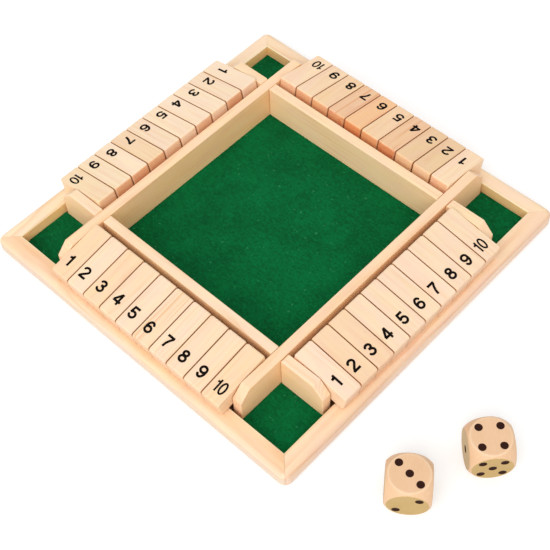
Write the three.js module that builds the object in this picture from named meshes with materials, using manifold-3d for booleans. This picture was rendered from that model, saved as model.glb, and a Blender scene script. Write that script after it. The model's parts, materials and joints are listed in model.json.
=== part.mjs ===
// A wooden shut the box board for four players. Ten numbered tiles lie along each side of a square
// dice tray. Each row turns on a rod that is let into the dividers at its two ends.
// Units are millimetres, +Z is up, and the origin is the centre of the board's underside.
// The south side faces -Y and the other sides follow it by quarter turns: east, north and west.

import * as THREE from 'three';
import { mergeVertices } from 'three/addons/utils/BufferGeometryUtils.js';
import Module from 'manifold-3d';

const wasm = await Module();
wasm.setup();

// Outer rails
const boardSide = 300;
const railWidth = 14.3;
const railHeight = 14.2;
const railTopRound = 4.8;
const railBottomRound = 2.5;
const boardCornerRadius = 6;
const rebateWidth = 5;

// Floor
const panelThickness = 4;
const feltThickness = 1;

// Dice tray walls and the dividers between the rows and the corner pockets
const traySide = 172;
const wallThickness = 8;
const wallHeight = 30;
const dividerGap = 2.7;
const clipLength = 9.3;
const clipDrop = 9.5;

// Tiles
const tilesPerSide = 10;
const tileGap = 0.4;
const tileThickness = 15;
const tileHeel = 5.6;
const tileReach = 41.9;
const heelTopRound = 1.5;
const heelBottomRound = 3;
const noseTopRound = 1.2;
const noseBottomRound = 0.8;

// Hinge rods
const rodDiameter = 3;
const rodStandoff = 9.45;
const rodDrop = 5.3;
const rodSocketDepth = 4;
const rodClearance = 0.3;

// Dice
const dieSide = 31;
const dieBallRadius = 20.9;
const pipDiameter = 5.5;
const pipDepth = 0.5;
const pipSpread = 7.2;
const dieSouthPlace = [210.8, -98.1];
const dieEastPlace = [233.3, -42.3];
const dieSouthTurn = THREE.MathUtils.degToRad(37);
const dieEastTurn = THREE.MathUtils.degToRad(47);

// Clearances between neighbours
const jointGap = 0.3;
const seatGap = 0.3;

// Facets
const arcSteps = 4;
const boreSteps = 12;
const pipSides = 8;
const ballSegments = 24;

// What follows from the sizes above
const railInner = boardSide / 2 - railWidth;
const feltTop = panelThickness + feltThickness;
const wallTop = feltTop + wallHeight;
const trayHalf = traySide / 2;
const dividerOuter = trayHalf + wallThickness;
const dividerEnd = railInner - dividerGap;
const rodDistance = dividerOuter + rodStandoff;
const rodHeight = wallTop - rodDrop;
const rodRadius = rodDiameter / 2;
const boreRadius = rodRadius + rodClearance;
const tileWidth = (traySide - (tilesPerSide + 1) * tileGap) / tilesPerSide;
const tilePitch = tileWidth + tileGap;
const cutOverrun = jointGap;

// A tile at rest slopes down from its rod until its lower nose meets the top of the rail.
const noseRadius = Math.hypot(tileReach, tileThickness / 2);
const noseFall = rodHeight - railHeight - seatGap;
const restSlope = Math.asin(noseFall / noseRadius) - Math.atan2(tileThickness / 2, tileReach);

const palePine = new THREE.MeshStandardMaterial({ color: 0xf3d3a6, roughness: 0.55, metalness: 0 });
const tilePine = new THREE.MeshStandardMaterial({ color: 0xf7dcb8, roughness: 0.5, metalness: 0 });
const plywood = new THREE.MeshStandardMaterial({ color: 0xd9b987, roughness: 0.7, metalness: 0 });
const greenFelt = new THREE.MeshStandardMaterial({ color: 0x00662f, roughness: 0.95, metalness: 0 });
const brightSteel = new THREE.MeshStandardMaterial({ color: 0xb8bcc0, roughness: 0.3, metalness: 1 });
const beech = new THREE.MeshStandardMaterial({ color: 0xe9bd8d, roughness: 0.4, metalness: 0 });

// A closed outline whose corners, [x, y, radius] anticlockwise, are rounded by arcs.
function roundedOutline(corners) {
  const outline = [];
  corners.forEach(([x, y, radius], index) => {
    const corner = new THREE.Vector2(x, y);
    if (radius === 0) {
      outline.push(corner);
      return;
    }
    const before = corners[(index + corners.length - 1) % corners.length];
    const after = corners[(index + 1) % corners.length];
    const toBefore = new THREE.Vector2(before[0] - x, before[1] - y).normalize();
    const toAfter = new THREE.Vector2(after[0] - x, after[1] - y).normalize();
    const halfAngle = Math.acos(toBefore.dot(toAfter)) / 2;
    const centre = toBefore.clone().add(toAfter).setLength(radius / Math.sin(halfAngle)).add(corner);
    const start = corner.clone().addScaledVector(toBefore, radius / Math.tan(halfAngle));
    const turn = Math.PI - 2 * halfAngle;
    for (let step = 0; step <= arcSteps; step += 1) {
      outline.push(start.clone().rotateAround(centre, turn * step / arcSteps));
    }
  });
  return outline;
}

function circleOutline(radius, steps) {
  return Array.from({ length: steps }, (_, step) => {
    const angle = 2 * Math.PI * step / steps;
    return new THREE.Vector2(radius * Math.cos(angle), radius * Math.sin(angle));
  });
}

function extrude(outline, depth, holes = []) {
  const shape = new THREE.Shape(outline);
  shape.holes = holes.map((hole) => new THREE.Path(hole));
  return new THREE.ExtrudeGeometry(shape, { depth, bevelEnabled: false });
}

function toSolid(geometry) {
  const bare = geometry.clone();
  bare.deleteAttribute('normal');
  bare.deleteAttribute('uv');
  const merged = mergeVertices(bare);
  return new wasm.Manifold(new wasm.Mesh({
    numProp: 3,
    vertProperties: new Float32Array(merged.attributes.position.array),
    triVerts: new Uint32Array(merged.index.array),
  }));
}

function toGeometry(solid) {
  const { vertProperties, triVerts } = solid.getMesh();
  const geometry = new THREE.BufferGeometry();
  geometry.setAttribute('position', new THREE.BufferAttribute(vertProperties, 3));
  geometry.setIndex(new THREE.BufferAttribute(triVerts, 1));
  geometry.computeVertexNormals();
  return geometry;
}

function piece(name, geometry, material) {
  const mesh = new THREE.Mesh(geometry, material);
  mesh.name = name;
  return mesh;
}

// Turns a flat outline upright: its x runs along `outward`, its y up, and its thickness along
// outward cross up.
function standUp(object, outward) {
  const up = new THREE.Vector3(0, 0, 1);
  const across = outward.clone().cross(up);
  object.quaternion.setFromRotationMatrix(new THREE.Matrix4().makeBasis(outward, up, across));
  return object;
}

const board = new THREE.Group();

// One group for each side, turned so that its own -Y points outwards.
const sides = ['south', 'east', 'north', 'west'].map((name, quarter) => {
  const group = new THREE.Group();
  group.rotation.z = quarter * Math.PI / 2;
  board.add(group);
  return { name, group };
});

// Outer rail. Its section is carried along the side and round half of each plan corner. Section
// points nearer the tray than the corner's centre run straight to the mitre instead.
function railGeometry() {
  const reach = railWidth - boardCornerRadius;
  const rebateHeight = panelThickness + seatGap;
  const outer = roundedOutline([
    [railWidth, 0, railBottomRound],
    [railWidth, railHeight, railTopRound],
    [reach, railHeight, 0],
    [reach, 0, 0],
  ]).slice(0, -2);
  const section = [
    ...outer,
    new THREE.Vector2(reach, railHeight),
    new THREE.Vector2(0, railHeight),
    new THREE.Vector2(0, rebateHeight),
    new THREE.Vector2(rebateWidth, rebateHeight),
    new THREE.Vector2(rebateWidth, 0),
    new THREE.Vector2(reach, 0),
  ];
  const mitreTrim = jointGap / Math.SQRT2;
  const arcCentre = railInner + reach;

  function place(point, hand, step) {
    const radius = point.x - reach;
    if (radius <= 0) {
      return [hand * (railInner + point.x - mitreTrim), -(railInner + point.x), point.y];
    }
    const lastAngle = Math.PI / 4 - Math.asin(mitreTrim / (Math.SQRT2 * radius));
    const angle = lastAngle * step / arcSteps;
    return [hand * (arcCentre + radius * Math.sin(angle)), -(arcCentre + radius * Math.cos(angle)), point.y];
  }

  const stations = [];
  for (let step = arcSteps; step >= 0; step -= 1) {
    stations.push([-1, step]);
  }
  for (let step = 0; step <= arcSteps; step += 1) {
    stations.push([1, step]);
  }
  const positions = stations.flatMap(([hand, step]) => section.flatMap((point) => place(point, hand, step)));
  const count = section.length;
  const index = [];

  // A strip that has shrunk to a line at the mitre gives no triangle.
  const still = (point, station) => point.x <= reach && station !== arcSteps;
  for (let station = 0; station < stations.length - 1; station += 1) {
    for (let here = 0; here < count; here += 1) {
      const next = (here + 1) % count;
      const a = station * count + here;
      const b = station * count + next;
      const hereStill = still(section[here], station);
      const nextStill = still(section[next], station);
      if (!hereStill) {
        index.push(a, a + count, b);
      }
      if (!nextStill) {
        index.push(b, a + count, b + count);
      }
    }
  }
  const last = (stations.length - 1) * count;
  const mitreFace = section.map((point) => {
    const [x, y, z] = place(point, 1, arcSteps);
    return new THREE.Vector2(Math.hypot(x, y), z);
  });
  THREE.ShapeUtils.triangulateShape(mitreFace, []).forEach(([a, b, c]) => {
    index.push(a, b, c);
    index.push(last + a, last + c, last + b);
  });
  const geometry = new THREE.BufferGeometry();
  geometry.setAttribute('position', new THREE.Float32BufferAttribute(positions, 3));
  geometry.setIndex(index);
  return mergeVertices(geometry);
}

sides.forEach(({ name, group }) => {
  group.add(piece(`rail_${name}`, railGeometry(), palePine));
});

// Base panel, let into the rails' rebates, and the felt glued over all of it inside the rails.
function slab(name, side, bottom, thickness, material) {
  const mesh = piece(name, new THREE.BoxGeometry(side, side, thickness), material);
  mesh.position.z = bottom + thickness / 2;
  return mesh;
}

board.add(slab('base_panel', 2 * (railInner + rebateWidth - jointGap), 0, panelThickness, plywood));
board.add(slab('felt', 2 * (railInner - jointGap), panelThickness, feltThickness, greenFelt));

// The clipped end of a divider, from the felt up, for an end that faces +x.
const clippedEnd = [
  [dividerEnd, feltTop],
  [dividerEnd, wallTop - clipDrop],
  [dividerEnd - clipLength, wallTop],
];

// A blind socket for a rod, in a wall that stands upright with its thickness from 0 to wallThickness.
function socket(along, face) {
  const depth = rodSocketDepth + rodClearance + cutOverrun;
  const drill = extrude(circleOutline(boreRadius, boreSteps), depth);
  drill.translate(along, rodHeight, face === 'near' ? -cutOverrun : wallThickness + cutOverrun - depth);
  return toSolid(drill);
}

function walls() {
  const east = new THREE.Vector3(1, 0, 0);
  const north = new THREE.Vector3(0, 1, 0);
  const mirrored = clippedEnd.map(([along, height]) => [-along, height]).reverse();
  const throughOutline = [...clippedEnd, ...mirrored].map(([along, height]) => new THREE.Vector2(along, height));

  // The through walls run north. Their thickness grows towards +X from the group's origin.
  [['west', -dividerOuter, 'far'], ['east', trayHalf, 'near']].forEach(([name, start, face]) => {
    const solid = toSolid(extrude(throughOutline, wallThickness))
      .subtract(socket(rodDistance, face))
      .subtract(socket(-rodDistance, face));
    const wall = standUp(piece(`wall_${name}`, toGeometry(solid), palePine), north);
    wall.position.x = start;
    board.add(wall);
  });

  // The short walls stand between them.
  [['south', -dividerOuter], ['north', trayHalf]].forEach(([name, start]) => {
    const length = 2 * (trayHalf - jointGap);
    const wall = piece(`wall_${name}`, new THREE.BoxGeometry(length, wallThickness, wallHeight), palePine);
    wall.position.set(0, start + wallThickness / 2, feltTop + wallHeight / 2);
    board.add(wall);
  });

  // The short dividers carry on outside the through walls, to the east and to the west.
  [['north', 1], ['south', -1]].forEach(([row, northward]) => {
    [['east', 1], ['west', -1]].forEach(([end, eastward]) => {
      const outward = east.clone().multiplyScalar(eastward);
      const outline = [[dividerOuter + jointGap, feltTop], ...clippedEnd, [dividerOuter + jointGap, wallTop]]
        .map(([along, height]) => new THREE.Vector2(along, height));
      const grows = -eastward;
      const face = grows === northward ? 'near' : 'far';
      const solid = toSolid(extrude(outline, wallThickness)).subtract(socket(rodDistance, face));
      const divider = standUp(piece(`divider_${row}${end}`, toGeometry(solid), palePine), outward);
      divider.position.y = northward * (grows === northward ? trayHalf : dividerOuter);
      board.add(divider);
    });
  });
}

walls();

// One row of tiles on its rod, for each side.
function tileGeometry() {
  const half = tileThickness / 2;
  const outline = roundedOutline([
    [-tileHeel, -half, heelBottomRound],
    [tileReach, -half, noseBottomRound],
    [tileReach, half, noseTopRound],
    [-tileHeel, half, heelTopRound],
  ]);
  return extrude(outline, tileWidth, [circleOutline(boreRadius, boreSteps)]);
}

sides.forEach(({ name, group }) => {
  const outward = new THREE.Vector3(0, -1, 0);
  const rodHalf = trayHalf + rodSocketDepth - rodClearance;
  const rod = piece(`rod_${name}`, extrude(circleOutline(rodRadius, boreSteps), 2 * rodHalf), brightSteel);
  const axle = standUp(new THREE.Group(), outward);
  axle.position.set(rodHalf, -rodDistance, rodHeight);
  axle.add(rod);
  group.add(axle);

  for (let number = 1; number <= tilesPerSide; number += 1) {
    const hinge = standUp(new THREE.Group(), outward);
    const eastEdge = -trayHalf + number * tilePitch;
    hinge.position.set(eastEdge, -rodDistance, rodHeight);
    const tile = piece(`tile_${name}_${number}`, tileGeometry(), tilePine);
    tile.rotation.z = -restSlope;
    hinge.add(tile);
    group.add(hinge);
  }
});

// Dice: a cube cut by a ball, which leaves a round flat on each face, with drilled pips.
const pipSpots = {
  1: [[0, 0]],
  2: [[-1, -1], [1, 1]],
  3: [[-1, 1], [0, 0], [1, -1]],
  4: [[-1, -1], [-1, 1], [1, -1], [1, 1]],
  5: [[-1, -1], [-1, 1], [0, 0], [1, -1], [1, 1]],
  6: [[-1, -1], [-1, 0], [-1, 1], [1, -1], [1, 0], [1, 1]],
};

// Each die's faces as [value, normal, the face's own sideways direction], in the die's frame.
const dieSouthFaces = [
  [3, [0, 0, 1], [1, 0, 0]],
  [4, [0, 0, -1], [1, 0, 0]],
  [2, [0, -1, 0], [1, 0, 0]],
  [5, [0, 1, 0], [1, 0, 0]],
  [1, [1, 0, 0], [0, 1, 0]],
  [6, [-1, 0, 0], [0, 1, 0]],
];
const dieEastFaces = [
  [4, [0, 0, 1], [1, 0, 0]],
  [3, [0, 0, -1], [1, 0, 0]],
  [5, [0, -1, 0], [1, 0, 0]],
  [2, [0, 1, 0], [1, 0, 0]],
  [1, [-1, 0, 0], [0, 1, 0]],
  [6, [1, 0, 0], [0, 1, 0]],
];

function dieGeometry(faces) {
  const cube = toSolid(new THREE.BoxGeometry(dieSide, dieSide, dieSide));
  const ball = toSolid(new THREE.SphereGeometry(dieBallRadius, ballSegments, ballSegments / 2));
  let die = cube.intersect(ball);
  faces.forEach(([value, normalParts, sidewaysParts]) => {
    const normal = new THREE.Vector3(...normalParts);
    const sideways = new THREE.Vector3(...sidewaysParts);
    const upward = normal.clone().cross(sideways);
    pipSpots[value].forEach(([right, up]) => {
      const drill = extrude(circleOutline(pipDiameter / 2, pipSides), pipDepth + cutOverrun);
      const origin = normal.clone().multiplyScalar(dieSide / 2 - pipDepth)
        .addScaledVector(sideways, right * pipSpread)
        .addScaledVector(upward, up * pipSpread);
      const frame = new THREE.Matrix4().makeBasis(sideways, upward, normal).setPosition(origin);
      drill.applyMatrix4(frame);
      die = die.subtract(toSolid(drill));
    });
  });
  return toGeometry(die);
}

[
  ['die_south', dieSouthFaces, dieSouthPlace, dieSouthTurn],
  ['die_east', dieEastFaces, dieEastPlace, dieEastTurn],
].forEach(([name, faces, [x, y], turn]) => {
  const die = piece(name, dieGeometry(faces), beech);
  die.position.set(x, y, dieSide / 2);
  die.rotation.z = turn;
  board.add(die);
});

export default board;
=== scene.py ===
# %% [markdown]
# # A wooden shut the box board for four players
#
# A square tray lined with green felt has a row of ten numbered tiles along each side. The tiles
# hang on steel rods and slope down to a rounded outer rail. Two wooden dice stand beside it.
#
# Every piece is a surface worked out with numpy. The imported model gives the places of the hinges,
# so each surface stands exactly where its node stands.

# %% Load the frame
import json
import math

import bmesh
import bpy
import numpy as np
from mathutils import Matrix, Vector
from mathutils.geometry import tessellate_polygon


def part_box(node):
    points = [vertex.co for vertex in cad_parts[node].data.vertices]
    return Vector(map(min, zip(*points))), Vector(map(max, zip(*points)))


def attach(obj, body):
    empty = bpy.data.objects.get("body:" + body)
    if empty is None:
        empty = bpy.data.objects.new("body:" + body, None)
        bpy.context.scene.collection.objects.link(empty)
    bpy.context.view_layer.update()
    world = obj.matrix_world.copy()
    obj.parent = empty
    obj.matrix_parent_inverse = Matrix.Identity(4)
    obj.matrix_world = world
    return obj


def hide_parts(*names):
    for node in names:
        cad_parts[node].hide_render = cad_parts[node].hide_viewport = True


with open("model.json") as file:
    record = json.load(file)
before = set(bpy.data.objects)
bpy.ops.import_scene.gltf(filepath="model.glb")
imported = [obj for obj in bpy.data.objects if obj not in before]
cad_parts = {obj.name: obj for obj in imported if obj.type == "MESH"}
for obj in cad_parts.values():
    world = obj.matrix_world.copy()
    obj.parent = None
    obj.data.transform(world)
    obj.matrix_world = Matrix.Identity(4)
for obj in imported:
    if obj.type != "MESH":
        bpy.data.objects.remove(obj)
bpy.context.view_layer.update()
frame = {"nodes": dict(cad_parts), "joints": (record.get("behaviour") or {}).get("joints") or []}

hinges = {joint["child"]: joint for joint in frame["joints"]}
print("nodes:", len(frame["nodes"]), "hinges and slides:", len(hinges))

# %% [markdown]
# ## Sizes
#
# Blender works in metres, and a maker thinks in millimetres, so each length is written in
# millimetres times `MM`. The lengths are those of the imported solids, and only the tiles' width,
# the pips and the small roundings differ a little. Lengths that several pieces share stand here,
# and the others where their piece is made.

# %% Sizes
MM = 0.001

BOARD_HALF = 150 * MM
TRAY_HALF = 86 * MM
WALL_THICKNESS = 8 * MM
WALL_TOP = 35 * MM
DIVIDER_OUTER = TRAY_HALF + WALL_THICKNESS
FELT_BOTTOM = 4 * MM
FELT_TOP = 5 * MM
BORE_RADIUS = 1.8 * MM

SIDES = ("south", "east", "north", "west")
print("board:", 2 * BOARD_HALF, "m square and", WALL_TOP, "m high")

# %% [markdown]
# ## Shader arithmetic
#
# A material is a graph of nodes, and a graph is hard to read. So one `Signal` wraps one socket,
# and adding or multiplying signals makes the Math nodes. A formula then reads like Python.

# %% Shader arithmetic
class Signal:
    """A value that changes over a surface, with the operators that the materials use."""

    def __init__(self, graph, socket):
        self.graph = graph
        self.socket = socket

    def math(self, operation, *values):
        return self.graph.add("ShaderNodeMath", {"operation": operation}, dict(enumerate(values)))

    def __add__(self, other):
        return self.math("ADD", self, other)

    def __radd__(self, other):
        return self.math("ADD", other, self)

    def __sub__(self, other):
        return self.math("SUBTRACT", self, other)

    def __rsub__(self, other):
        return self.math("SUBTRACT", other, self)

    def __mul__(self, other):
        return self.math("MULTIPLY", self, other)

    def __rmul__(self, other):
        return self.math("MULTIPLY", other, self)

    def __truediv__(self, other):
        return self.math("DIVIDE", self, other)

    def __pow__(self, other):
        return self.math("POWER", self, other)

    def fraction(self):
        """What is left when the whole number is taken away."""
        return self.math("FRACT", self)

    def rise(self, low, high):
        """0 up to low, 1 from high on, and a smooth slope between them."""
        return self.graph.add(
            "ShaderNodeMapRange",
            {"interpolation_type": "SMOOTHSTEP"},
            {"Value": self, "From Min": low, "From Max": high},
        )


class Graph:
    """The nodes of one material, or of the world."""

    def __init__(self, owner):
        owner.use_nodes = True
        self.owner = owner
        self.tree = owner.node_tree
        self.tree.nodes.clear()

    def add(self, kind, settings=None, inputs=None, output=0):
        """Makes a node, sets its settings, and then its sockets' values or links."""
        node = self.tree.nodes.new(kind)
        for name, value in (settings or {}).items():
            setattr(node, name, value)
        for name, value in (inputs or {}).items():
            if isinstance(value, Signal):
                self.tree.links.new(value.socket, node.inputs[name])
            else:
                node.inputs[name].default_value = value
        return Signal(self, node.outputs[output]) if len(node.outputs) else None

    def attribute(self, name, output="Fac"):
        """What the mesh carries under a name, as a number unless another output is asked for."""
        return self.add("ShaderNodeAttribute", {"attribute_name": name}, output=output)

    def place(self):
        """Where a point is, in metres."""
        return self.add("ShaderNodeTexCoord", output="Object")

    def parts(self, vector, axes):
        """The parts of a vector along some of its axes."""
        return [self.add("ShaderNodeSeparateXYZ", None, {0: vector}, output=axis) for axis in axes]

    def noise(self, vector, scale, detail=2.0, roughness=0.5):
        """Soft random blotches from 0 to 1, so many to the metre along each of the three axes."""
        scaled = self.add("ShaderNodeVectorMath", {"operation": "MULTIPLY"}, {0: vector, 1: scale})
        inputs = {"Vector": scaled, "Scale": 1.0, "Detail": detail, "Roughness": roughness}
        return self.add("ShaderNodeTexNoise", None, inputs)

    def mix(self, share, first, second, how="MIX"):
        """A colour between two others."""
        settings = {"data_type": "RGBA", "blend_type": how}
        return self.add("ShaderNodeMix", settings, {0: share, 6: first, 7: second}, output=2)

    def product(self, first, second):
        """Two colours multiplied, as where one stains the other."""
        return self.mix(1.0, first, second, "MULTIPLY")

    def bump(self, height, strength, distance):
        """Shading as if the surface rose by a height from 0 to 1, times a distance in metres."""
        inputs = {"Height": height, "Strength": strength, "Distance": distance}
        return self.add("ShaderNodeBump", None, inputs)

    def surface(self, inputs):
        """Ends a material in one Principled shader with these inputs."""
        shader = self.add("ShaderNodeBsdfPrincipled", None, inputs)
        self.add("ShaderNodeOutputMaterial", None, {"Surface": shader})
        return self.owner


def colour(red, green, blue):
    """A colour as a screen shows it, 0 to 255, turned into linear light."""
    shares = np.array((red, green, blue)) / 255
    linear = np.where(shares <= 0.04045, shares / 12.92, ((shares + 0.055) / 1.055) ** 2.4)
    return (*linear.tolist(), 1.0)


print("a screen's mid grey is", round(colour(128, 128, 128)[0], 3), "in linear light")

# %% [markdown]
# ## Pine
#
# A picture of wood wrapped round a piece would break at its corners, so here the wood is worked
# out in space. A tree's year rings are cylinders round its heart. At a point of a plank, the
# distance from the heart divided by the width of a ring counts the years, and the fraction of
# that count says how far through its year the wood is. Wood darkens slowly through the summer and
# turns pale at once in spring, so the fraction goes through a slow rise and a quick fall. A slow
# noise bends the rings and a fine one, drawn out along the fibres, makes the pores. A strongly
# figured piece also has a few thin dark streaks, which run far along the fibres.
#
# Each piece carries five attributes, made with its mesh further on:
#
# - `grain` is the place in the plank that the piece was cut from. Its x runs along the fibres and
#   the other two count from the heart of the tree.
# - `tint` multiplies the colour, because no two pieces of pine match. On the rails, the walls and
#   the rows of tiles it also paints light and shade.
# - `figure` says how strongly the rings show.
# - `end` is up to 1 on a face that cuts across the fibres, which drinks more lacquer.
# - `side` is up to 1 on an upright face along the fibres, where light and shade are painted: the
#   tiles' sides get painted shade in their seams, and the walls' faces a painted, lighter and
#   warmer colour by how light falls on them.

# %% Pine
YELLOWER, PINKER = (1.0, 0.99, 0.93, 1), (0.99, 0.955, 0.97, 1)
END_SHADE = colour(228, 174, 132)
RING_WANDER = 9 * MM


def pine(name, pale, dark, side_light_and_shade, ring):
    """Lacquered pine between a pale early wood and a darker late wood."""
    graph = Graph(bpy.data.materials.new(name))
    plank = graph.attribute("grain", "Vector")
    bend = graph.noise(plank, (7, 45, 45), 2.5)
    across, depth = graph.parts(plank, "YZ")
    heart = (across * across + depth * depth) ** 0.5
    year = ((heart + (bend - 0.5) * RING_WANDER) / ring).fraction()
    showing = graph.noise(plank, (16, 90, 90), 1.0).rise(0.3, 0.62)
    late = year.rise(0.25, 0.92) * (1 - year.rise(0.93, 1.0)) * showing
    pores = graph.noise(plank, (30, 1500, 1500), 3.0, 0.6)
    threads = graph.noise(plank, (12, 420, 420), 3.0, 0.7)
    cloud = graph.noise(plank, (30, 110, 110), 3.0, 0.6)
    blush = graph.noise(plank, (40, 130, 130), 2.0).rise(0.35, 0.65)
    figure = graph.attribute("figure")
    streaks = graph.noise(plank, (5, 330, 330), 1.0).rise(0.6, 0.66) * figure.rise(0.5, 0.56)
    depth_of_colour = (
        late * figure
        + streaks * 0.7
        + (cloud - 0.5) * 0.5
        + (pores - 0.5) * 0.3
        + (threads - 0.5) * 0.5
    )
    wood = graph.mix(depth_of_colour.rise(-0.2, 0.95), pale, dark)
    wood = graph.mix(blush, graph.product(wood, YELLOWER), graph.product(wood, PINKER))
    wood = graph.product(wood, graph.attribute("tint", "Color"))
    wood = graph.mix(graph.attribute("end"), wood, graph.product(wood, END_SHADE))
    # Painted light and shade on the upright faces along the fibres.
    wood = graph.mix(graph.attribute("side"), wood, graph.product(wood, side_light_and_shade))
    return graph.surface(
        {
            "Base Color": wood,
            "Roughness": 0.5 + (pores - 0.5) * 0.12,
            "Normal": graph.bump(pores * 0.6 + late * 0.4, 0.12, 0.2 * MM),
            "Coat Weight": 0.1,
            "Coat Roughness": 0.25,
        }
    )


frame_pine = pine(
    "frame pine",
    pale=colour(251, 222, 188),
    dark=colour(236, 182, 134),
    # A lighter, warmer upright face: painted light.
    side_light_and_shade=(1.08, 0.96, 0.74, 1),
    ring=2.8 * MM,
)
tile_pine = pine(
    "tile pine",
    pale=colour(253, 228, 197),
    dark=colour(240, 192, 148),
    # Darker upright faces: painted shade in the seams between tiles.
    side_light_and_shade=colour(208, 168, 130),
    ring=2.2 * MM,
)
print("pine:", frame_pine.name, "and", tile_pine.name)

# %% [markdown]
# ## Felt
#
# Felt is wool pressed flat. Its fibres could be hairs, but at this distance their colour and
# bump are enough. They lie every way, so fine noise in all directions draws them, and broad soft
# clouds show where the nap was brushed another way. A few specks of pale lint always stick to
# it. Under the rows of tiles the real board is bare, so the sheet has the colour of wood there:
# from the middle of each wall outwards, apart from the four corner pockets. That wood is a darker
# brown than the panel's, and so also paints the deep shade in the gaps beside the rows' end tiles.

# %% Felt
def pressed_felt(name):
    """Green wool felt, and bare wood under the rows that also paints the shade there."""
    graph = Graph(bpy.data.materials.new(name))
    place = graph.place()
    fibres = graph.noise(place, (520, 520, 520), 5.0, 0.75)
    strands = graph.noise(place, (200, 1000, 900))
    cloud = graph.noise(place, (28, 28, 28), 4.0, 0.6)
    lint = graph.noise(place, (330, 330, 330), 1.0).rise(0.71, 0.78)
    shade = (cloud - 0.5) * 0.9 + (fibres - 0.5) * 1.7 + (strands - 0.5) * 0.6 + 0.5
    wool = graph.mix(shade.rise(0.0, 1.0), colour(0, 74, 36), colour(0, 112, 58))
    wool = graph.mix(lint * 0.4, wool, colour(60, 150, 100))
    x, y = (part.math("ABSOLUTE", part) for part in graph.parts(place, "XY"))
    far, near = x.math("MAXIMUM", x, y) / MM, x.math("MINIMUM", x, y) / MM
    pocket = DIVIDER_OUTER / MM
    seam = pocket - WALL_THICKNESS / MM / 2
    bare = far.rise(seam - 0.1, seam + 0.1) * (1 - near.rise(pocket - 0.2, pocket))
    # Bare wood under the rows, darkened to paint the deep shade there as well.
    veins = graph.noise(place, (14, 300, 300), 3.0)
    timber_and_painted_shade = graph.mix(veins, colour(158, 104, 64), colour(122, 76, 44))
    return graph.surface(
        {
            "Base Color": graph.mix(bare, wool, timber_and_painted_shade),
            "Roughness": 0.92 + (fibres - 0.5) * 0.1 - bare * 0.2,
            "Normal": graph.bump((fibres + strands * 0.5) * (1 - bare * 0.9), 0.6, 0.5 * MM),
            "Sheen Weight": 0.08,
            "Sheen Roughness": 0.5,
            "Sheen Tint": colour(90, 210, 140),
            "Specular IOR Level": 0.1,
        }
    )


green_felt = pressed_felt("green felt")
print("felt:", green_felt.name)

# %% [markdown]
# ## Plywood, steel and ink
#
# Three small finishes: the birch plywood under the board, the drawn wire of the hinge rods, and
# the black screen ink of the numbers, which lies thinner where the wood is rough. Little of the
# first two is ever seen, so one or two noises are enough.

# %% Plywood, steel and ink
def plywood(name):
    """Rotary cut birch: broad, faint bands and fine pores."""
    graph = Graph(bpy.data.materials.new(name))
    plank = graph.attribute("grain", "Vector")
    bands = (graph.noise(plank, (5, 26, 26), 3.0) * 9).fraction()
    pores = graph.noise(plank, (40, 1100, 1100))
    shade = bands.rise(0.2, 1.0) * 0.6 + pores * 0.3
    return graph.surface(
        {
            "Base Color": graph.mix(shade, colour(226, 196, 150), colour(196, 156, 104)),
            "Roughness": 0.6 + pores * 0.1,
        }
    )


def drawn_steel(name):
    """Bright wire with faint scratches."""
    graph = Graph(bpy.data.materials.new(name))
    scratches = graph.noise(graph.place(), (700, 700, 700))
    return graph.surface(
        {
            "Base Color": graph.mix(scratches, colour(176, 178, 182), colour(214, 216, 219)),
            "Metallic": 1.0,
            "Roughness": 0.28 + scratches * 0.12,
        }
    )


def screen_ink(name):
    """Black ink with a few thin specks."""
    graph = Graph(bpy.data.materials.new(name))
    specks = graph.noise(graph.place(), (1600, 1600, 1600))
    thin = specks.rise(0.5, 0.9) * 0.6
    return graph.surface(
        {
            "Base Color": graph.mix(thin, colour(14, 7, 4), colour(44, 30, 22)),
            "Roughness": 0.75 + specks * 0.2,
            "Specular IOR Level": 0.08,
        }
    )


birch_plywood = plywood("birch plywood")
bright_steel = drawn_steel("bright steel")
black_ink = screen_ink("black ink")
print("finishes:", [material.name for material in bpy.data.materials])

# %% [markdown]
# ## From a surface to a piece
#
# `make_piece` takes a surface's points and faces, welds points that coincide, writes the wood's
# attributes, and makes the piece ride on its body. The heart of the tree lies some 30 to 90 mm
# below each piece and a little to one side, at random, so the rings cross each one at their own
# slant. The random numbers are seeded by the piece's name, so the same piece always gets the same
# wood.

# %% From a surface to a piece
WELD = 0.001 * MM
SHARP_ANGLE = math.radians(38)
HEART_ALONG = 1000 * MM
HEART_ASIDE = 50 * MM
HEART_BELOW = (30 * MM, 90 * MM)
END_GRAIN = (0.5, 0.9)


def unit(vector):
    """The same direction with a length of one."""
    return np.asarray(vector, float) / np.linalg.norm(vector)


def grid_faces(rows, columns, around=False, start=0):
    """Four-sided faces between neighbours of a grid that is stored row by row.

    The face at row r and column c joins (r, c), (r, c + 1), (r + 1, c + 1) and (r + 1, c). With
    `around`, each row's last point is joined to its first.
    """
    row, column = np.indices((rows - 1, columns if around else columns - 1))
    after = (column + 1) % columns
    low, high = row * columns, (row + 1) * columns
    corners = np.stack([low + column, low + after, high + after, high + column], -1)
    return (corners.reshape(-1, 4) + start).tolist()


def store(mesh, name, kind, domain, values):
    """Writes one attribute of a mesh from an array."""
    field = "vector" if kind == "FLOAT_VECTOR" else "value"
    mesh.attributes.new(name, kind, domain).data.foreach_set(field, np.float32(values).ravel())


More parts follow.
